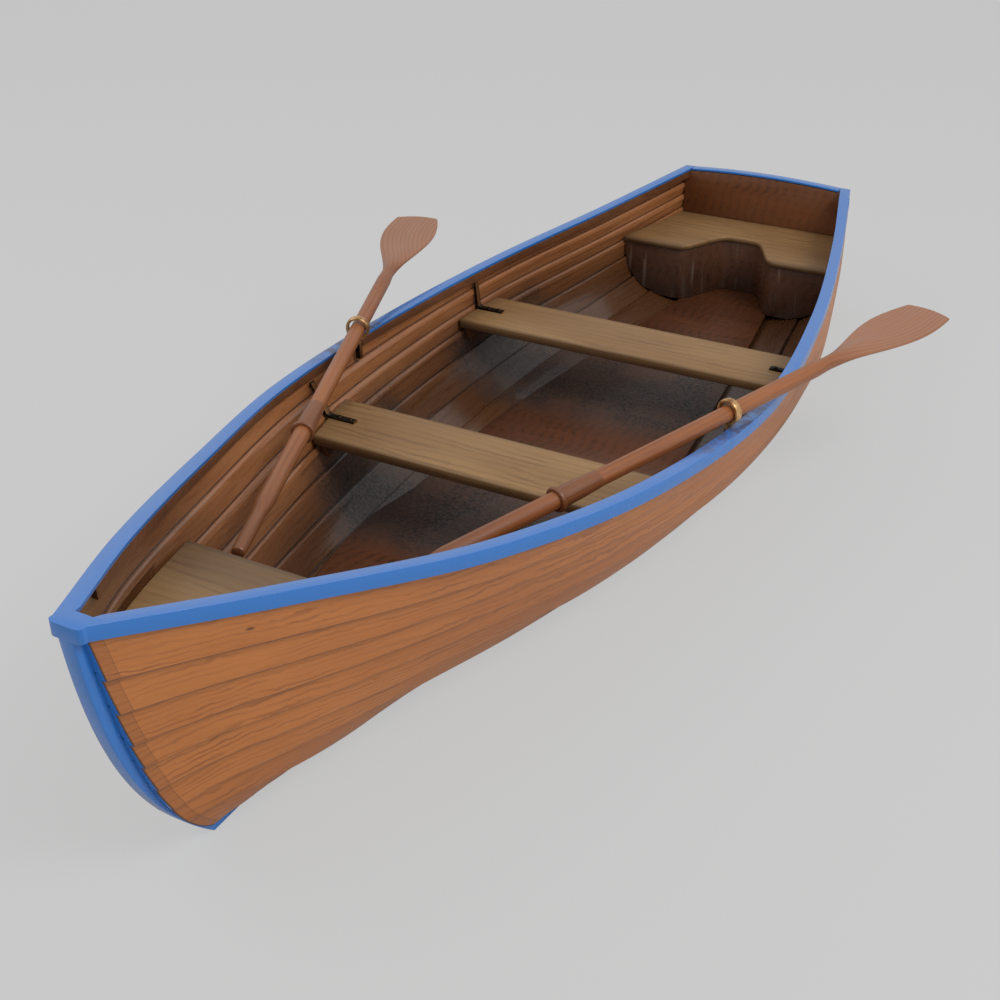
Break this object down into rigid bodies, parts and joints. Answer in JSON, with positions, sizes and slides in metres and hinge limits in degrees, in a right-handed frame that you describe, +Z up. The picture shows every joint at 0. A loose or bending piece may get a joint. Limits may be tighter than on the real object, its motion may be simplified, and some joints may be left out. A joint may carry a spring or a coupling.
{
  "type": "clinker rowing boat",
  "caption": "Open clinker-built rowing boat with raked stem, flat transom, thwarts, curved stern seat and shipped oars in closed swivelling rowlocks.",
  "frame": {"origin": "on the centreline, amidships, at the light waterline", "axes": "+X to port, -Y to the bow, +Y to the stern, +Z up"},
  "size_m": [1.8234, 3.608, 0.6682],
  "materials": {
    "planking": "varnished",
    "inside_timber": "dark oiled",
    "blue_paint": "gloss paint on timber",
    "thwart_timber": "worn bare",
    "oar_timber": "varnished",
    "brass": "aged",
    "iron": "forged, black"
  },
  "bodies": {
    "hull": {"keel": "blue_paint", "stem": "blue_paint", "transom": "inside_timber", "transom_trim": "blue_paint", "transom_cap": "blue_paint", "bow_cap": "blue_paint", "floor_panel": "inside_timber", "bow_seat": "thwart_timber", "middle_thwart": "thwart_timber", "aft_thwart": "thwart_timber", "stern_seat": "thwart_timber", "stern_panel": "inside_timber", "strake_port_1": "planking", "strake_port_2": "planking", "strake_port_3": "planking", "strake_port_4": "planking", "strake_port_5": "planking", "strake_port_6": "planking", "strake_port_7": "planking", "strake_port_8": "planking", "strake_starboard_1": "planking", "strake_starboard_2": "planking", "strake_starboard_3": "planking", "strake_starboard_4": "planking", "strake_starboard_5": "planking", "strake_starboard_6": "planking", "strake_starboard_7": "planking", "strake_starboard_8": "planking", "rail_port": "blue_paint", "inwale_port": "inside_timber", "seat_cleats_port": "inside_timber", "middle_knee_port": "iron", "aft_knee_port": "iron", "socket_port": "iron", "rail_starboard": "blue_paint", "inwale_starboard": "inside_timber", "seat_cleats_starboard": "inside_timber", "middle_knee_starboard": "iron", "aft_knee_starboard": "iron", "socket_starboard": "iron"},
    "rowlock_port": {"rowlock_port": "brass"},
    "rowlock_starboard": {"rowlock_starboard": "brass"},
    "oar_port": {"oar_port": "oar_timber", "oar_collar_port": "oar_timber"},
    "oar_starboard": {"oar_starboard": "oar_timber", "oar_collar_starboard": "oar_timber"}
  },
  "joints": [
    {"name": "rowlock_swing_port", "type": "hinge", "parent": "hull", "child": "rowlock_port", "pos_m": [0.5507, -0.1, 0.33428], "axis": [0, 0, 1], "range_deg": [-7, 2.5]},
    {"name": "oar_slide_port", "type": "slide", "parent": "rowlock_port", "child": "oar_port", "axis": [0.3419, 0.9393, 0.0297], "range_m": [0, 0.45]},
    {"name": "rowlock_swing_starboard", "type": "hinge", "parent": "hull", "child": "rowlock_starboard", "pos_m": [-0.5507, -0.1, 0.33428], "axis": [0, 0, 1], "range_deg": [-2.5, 7]},
    {"name": "oar_slide_starboard", "type": "slide", "parent": "rowlock_starboard", "child": "oar_starboard", "axis": [-0.3419, 0.9393, 0.0297], "range_m": [0, 0.45]}
  ]
}
